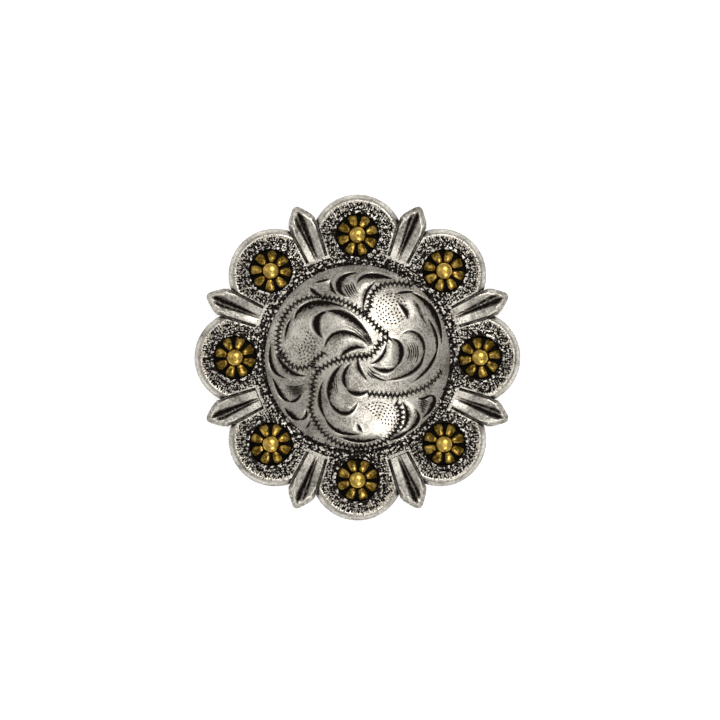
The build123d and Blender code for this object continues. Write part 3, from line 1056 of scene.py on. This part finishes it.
class Value:
    """A value in a material's nodes. Arithmetic on it adds Math nodes."""

    def __init__(self, tree, socket):
        self.tree = tree
        self.socket = socket

    def node(self, kind, settings, sockets, output=0):
        """Adds a node with its settings and sockets, and gives one of its outputs."""
        made = self.tree.nodes.new(kind)
        for name, setting in settings.items():
            setattr(made, name, setting)
        for name, given in sockets.items():
            if isinstance(given, Value):
                self.tree.links.new(given.socket, made.inputs[name])
            else:
                made.inputs[name].default_value = given
        return Value(self.tree, made.outputs[output])

    def maths(self, operation, first, second):
        """One Math node on two values."""
        return self.node("ShaderNodeMath", {"operation": operation}, {0: first, 1: second})

    def __add__(self, other):
        return self.maths("ADD", self, other)

    __radd__ = __add__

    def __mul__(self, other):
        return self.maths("MULTIPLY", self, other)

    __rmul__ = __mul__

    def __sub__(self, other):
        return self.maths("SUBTRACT", self, other)

    def __rsub__(self, other):
        return self.maths("SUBTRACT", other, self)

    def rise(self, low, high):
        """0 below low and 1 above high, with a soft step between them."""
        return self.node(
            "ShaderNodeMapRange",
            {"interpolation_type": "SMOOTHSTEP"},
            {"Value": self, "From Min": low, "From Max": high},
        )

    def noise(self, scale, detail, stretch=(1, 1, 1)):
        """Noise over these coordinates, from 0 to 1."""
        stretched = self.node("ShaderNodeMapping", {}, {"Vector": self, "Scale": stretch})
        return self.node(
            "ShaderNodeTexNoise", {}, {"Vector": stretched, "Scale": scale, "Detail": detail}
        )

    def blend(self, low, high):
        """A colour between two colours, by this value."""
        return self.node(
            "ShaderNodeMix",
            {"data_type": "RGBA", "clamp_factor": True},
            {"Factor": self, "A": low, "B": high},
            output=2,
        )

    def bump(self, strength, distance):
        """The normals of a surface that this value raises, by a distance in metres."""
        sockets = {"Height": self, "Strength": strength, "Distance": distance}
        return self.node("ShaderNodeBump", {}, sockets)


bare_specular = 0.12


def metal(name):
    """A bare metal's material: its shader, its coordinates on the object, and its patina with
    painted shade and highlights.
    """
    made = bpy.data.materials.new(name)
    made.use_nodes = True
    tree = made.node_tree
    shader = tree.nodes["Principled BSDF"]
    shader.inputs["Metallic"].default_value = 1.0
    shader.inputs["Specular IOR Level"].default_value = bare_specular
    start = Value(tree, None)
    place = start.node("ShaderNodeTexCoord", {}, {}, output="Object")
    patina_shade_sheen = start.node("ShaderNodeAttribute", {"attribute_name": "soot"}, {}, output="Fac")
    return made, tree, shader, place, patina_shade_sheen


def feed(tree, shader, **sockets):
    """Joins values to the shader's sockets, named with underscores for spaces."""
    for name, value in sockets.items():
        tree.links.new(value.socket, shader.inputs[name.replace("_", " ")])


silver_bright = (0.84, 0.79, 0.7, 1)
silver_worn = (0.33, 0.3, 0.255, 1)
patina_and_shade_black = (0.01, 0.006, 0.0045, 1)
antiqued_silver, tree, shader, place, patina_shade_sheen = metal("antiqued_silver")
# noise scales count per metre, so that 5200 is a grain of 0.2 mm
grain = place.noise(5200, 5)
speckle = place.noise(3400, 2)
blotches = place.noise(520, 5)
brushed = place.noise(900, 3, (1, 9, 1))
# the black breaks up in the metal's grain, and in coarser specks on the ground
ground = patina_shade_sheen.node("ShaderNodeAttribute", {"attribute_name": "ground"}, {}, output="Fac")
# black patina in the hollows and painted shade, broken up by the grain and specks
patina_and_shade_mask = (
    patina_shade_sheen
    + (grain - 0.5) * 0.62
    + patina_shade_sheen * (speckle - 0.5) * 2.0
    + ground * (speckle - 0.457) * 6.6
    + (0.42 - blotches).rise(0.0, 0.16) * 0.08
).rise(0.08, 0.6)
# painted highlight: the metal is lightened where the value lies below 0
painted_sheen = (-0.12 - patina_shade_sheen).rise(0.0, 0.14)
tone = (blotches * 0.4 + grain * 0.6 + painted_sheen * 0.3 + ground * 0.07).rise(0.38, 0.58)
colour = patina_and_shade_mask.blend(tone.blend(silver_worn, silver_bright), patina_and_shade_black)
rough = 0.2 + grain * 0.2 + patina_and_shade_mask * 0.4 + brushed * 0.1
height = grain * 0.5 + brushed * 0.3 + blotches * 0.6 + ground * speckle * 1.5
bumped = height.bump(0.75, 3e-5)
feed(tree, shader, Base_Color=colour, Roughness=rough, Metallic=1 - patina_and_shade_mask, Normal=bumped)
body.data.materials.clear()
body.data.materials.append(antiqued_silver)
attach(body, "root")
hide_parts("concho_body")

# Berries
# Each berry is cast in one piece and gold plated: a foot that sits in the
# socket, eight petals that slope down from the middle, and a round knob.
berry_turns = (17.4, 41.5, 28, 24.5, 20, 20, 10, 29)
petal_count = 8
foot_rows = [
    (2.75, 1.2),
    (2.75, 1.5),
    (2.3, 1.56),
    (1.9, 1.72),
    (1.3, 1.98),
    (0.85, 2.3),
    (0.3, 2.35),
]
knob_rows = [(0.9, 1.8), (0.98, 2.45), (0.98, 2.6), (0.9, 2.76), (0.72, 2.92), (0.48, 3.04)]
knob_rows += [(0.2, 3.11)]
petal_middle = 1.66
petal_length = 1.52
petal_width = 1.16
petal_rise = 0.75
petal_lean = math.radians(24)
petal_height = 2.08
# a petal's rounded corners, its crown to the sides and ends, and its waist inside
petal_corner = 0.1
petal_crown = (0.32, 0.3)
petal_waist = 0.58
petal_swell = 0.42
waist_run = 1.6
petal_cuts = 3
petal_rounding = 2
berry_sides = 48
berry_smooth = math.radians(40)

foot = turned("foot", foot_rows, berry_sides)
knob = turned("knob", knob_rows, berry_sides)
bpy.ops.object.select_all(action="DESELECT")
bpy.ops.mesh.primitive_cube_add(size=1)
petal = bpy.context.object
petal.name = "petal"
bpy.ops.object.mode_set(mode="EDIT")
bpy.ops.mesh.subdivide(number_cuts=petal_cuts)
bpy.ops.object.mode_set(mode="OBJECT")
for point in petal.data.vertices:
    x, y, z = point.co * 2
    corner = 1 - petal_corner * (x * x * y * y)
    crown = 1 - petal_crown[0] * y**4 - petal_crown[1] * x**4
    inner = petal_waist + petal_swell * min(1.0, (x + 1) / waist_run)
    point.co = (
        x * petal_length / 2 * corner,
        y * petal_width / 2 * inner * corner,
        z * petal_rise / 2 * (crown if z > 0 else 1),
    )
pick(petal)
rounding = petal.modifiers.new("rounding", "SUBSURF")
rounding.levels = petal_rounding
rounding.render_levels = petal_rounding
bpy.ops.object.modifier_apply(modifier=rounding.name)
petal.location = (petal_middle, 0, petal_height)
petal.rotation_euler = (0, petal_lean, 0)
bpy.ops.object.transform_apply()
berry = foot
for number in range(petal_count):
    combine(berry, placed(petal, 2 * math.pi * number / petal_count, 0), "UNION")
combine(berry, knob, "UNION")
bpy.data.objects.remove(petal)
berry.name = "berry_shape"
clean_shell(berry)
crest_line = [(0.0, 3.1), (0.92, 2.7), (1.0, 2.52), (1.2, 2.42), (2.0, 2.16), (2.4, 2.0), (2.8, 1.9)]
petal_dark = 0.36
petal_end = 2.4
petal_shade = 0.2
knob_reach = 0.99
knob_foot = 2.5
black = berry.data.attributes.new("soot", "FLOAT", "POINT")
for point in berry.data.vertices:
    x, y, z = point.co
    reach = math.hypot(x, y)
    crest = between(crest_line, reach)
    held_there = (crest - z) / petal_dark if reach < petal_end else 1.0
    # painted shade: petals darker towards their outer ends, where they slope down
    least = petal_shade * (reach - 1.0)
    # painted highlight on the top of the knob
    if reach < knob_reach and z > knob_foot:
        least = painted_highlight
    black.data[point.index].value = min(1.0, max(least, held_there))

gold_bright = (0.84, 0.56, 0.13, 1)
gold_worn = (0.16, 0.09, 0.012, 1)
gold_black = (0.004, 0.003, 0.002, 1)
antiqued_gold, tree, shader, place, patina_shade_sheen = metal("antiqued_gold")
grain = place.noise(3800, 4)
blotches = place.noise(1500, 4)
# black patina between the petals and painted shade on them
patina_and_shade_mask = (patina_shade_sheen + (grain - 0.5) * 0.8).rise(0.16, 0.62)
# painted highlight: the gold is lightened where the value lies below 0
painted_sheen = (-0.1 - patina_shade_sheen).rise(0.0, 0.16)
tone = (blotches * 0.6 + grain * 0.4 + painted_sheen * 0.12).rise(0.42, 0.64)
colour = patina_and_shade_mask.blend(tone.blend(gold_worn, gold_bright), gold_black)
height = grain * 0.5 + blotches * 0.5
bumped = height.bump(0.4, 3e-5)
rough = 0.2 + grain * 0.16 + patina_and_shade_mask * 0.4
feed(tree, shader, Base_Color=colour, Roughness=rough, Metallic=1 - patina_and_shade_mask, Normal=bumped)
for number, (angle, turn) in enumerate(zip(lobe_angles, berry_turns), start=1):
    pick(berry)
    bpy.ops.object.duplicate()
    seated = bpy.context.object
    seated.name = f"gold_berry_{number}"
    seated.location = (
        to_metres * berry_circle * math.cos(angle),
        to_metres * berry_circle * math.sin(angle),
        0,
    )
    seated.rotation_euler = (0, 0, angle + math.radians(turn))
    seated.scale = (to_metres, to_metres, to_metres)
    bpy.ops.object.transform_apply()
    bpy.ops.object.shade_smooth_by_angle(angle=berry_smooth)
    seated.data.materials.clear()
    seated.data.materials.append(antiqued_gold)
    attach(seated, "root")
    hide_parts(f"berry_{number}")
bpy.data.objects.remove(berry)

# Screw post
# A plain turned steel bush, nickel plated, pressed into the boss behind the
# dome. The screw from behind the leather goes into its blind hole.
nickel = (0.6, 0.59, 0.56, 1)
post_steel, tree, shader, place, patina_shade_sheen = metal("post_steel")
shader.inputs["Base Color"].default_value = nickel
grain = place.noise(4000, 4)
turning = place.noise(1500, 2, (1, 1, 14))
bumped = (turning * 0.6 + grain * 0.4).bump(0.3, 2e-5)
feed(tree, shader, Roughness=0.22 + grain * 0.2, Normal=bumped)
post = bpy.data.objects["screw_post"]
post.data.materials.clear()
post.data.materials.append(post_steel)

# Table, light and camera
# The concho lies face up on a white table among four soft boxes, and the camera
# looks straight down on it.
table_size = 2.0
table_below = 0.00001
table_white = (0.9, 0.9, 0.9, 1)
table_rough = 0.9
table_glow = 0.65
glow_white = (1, 1, 1, 1)
room_grey = (0.33, 0.33, 0.33, 1)
bpy.ops.object.select_all(action="DESELECT")
bpy.ops.mesh.primitive_plane_add(size=table_size, location=(0, 0, -table_below))
table = bpy.context.object
table.name = "table"
bpy.ops.object.transform_apply()
white = bpy.data.materials.new("white_table")
white.use_nodes = True
shader = white.node_tree.nodes["Principled BSDF"]
shader.inputs["Base Color"].default_value = table_white
shader.inputs["Roughness"].default_value = table_rough
shader.inputs["Emission Color"].default_value = glow_white
shader.inputs["Emission Strength"].default_value = table_glow
table.data.materials.append(white)

room = bpy.data.worlds.new("room")
room.use_nodes = True
room.node_tree.nodes["Background"].inputs["Color"].default_value = room_grey
bpy.context.scene.world = room
SoftBox = namedtuple("SoftBox", "name azimuth elevation width power")
soft_boxes = [
    SoftBox("soft_box_back", 62, 63, 0.46, 2.6),
    SoftBox("soft_box_front", -68, 45, 0.36, 1.7),
    SoftBox("soft_box_left", 160, 40, 0.5, 0.5),
    SoftBox("soft_box_overhead", -63, 82, 0.66, 0.75),
]
box_distance = 1.0
for box in soft_boxes:
    light = bpy.data.lights.new(box.name, "AREA")
    light.size = box.width
    light.energy = box.power
    lamp = bpy.data.objects.new(box.name, light)
    azimuth = math.radians(box.azimuth)
    elevation = math.radians(box.elevation)
    lamp.location = (
        box_distance * math.cos(elevation) * math.cos(azimuth),
        box_distance * math.cos(elevation) * math.sin(azimuth),
        box_distance * math.sin(elevation),
    )
    lamp.rotation_euler = (0, math.pi / 2 - elevation, azimuth)
    bpy.context.collection.objects.link(lamp)

camera_lens = 257.4
camera_sensor = 36
camera_height = 0.6
camera_aside = 0.000291
camera_data = bpy.data.cameras.new("camera")
camera_data.lens = camera_lens
camera_data.sensor_width = camera_sensor
camera = bpy.data.objects.new("camera", camera_data)
camera.location = (camera_aside, -camera_aside, camera_height)
bpy.context.collection.objects.link(camera)
bpy.context.scene.camera = camera
bpy.context.scene.view_settings.view_transform = "Standard"
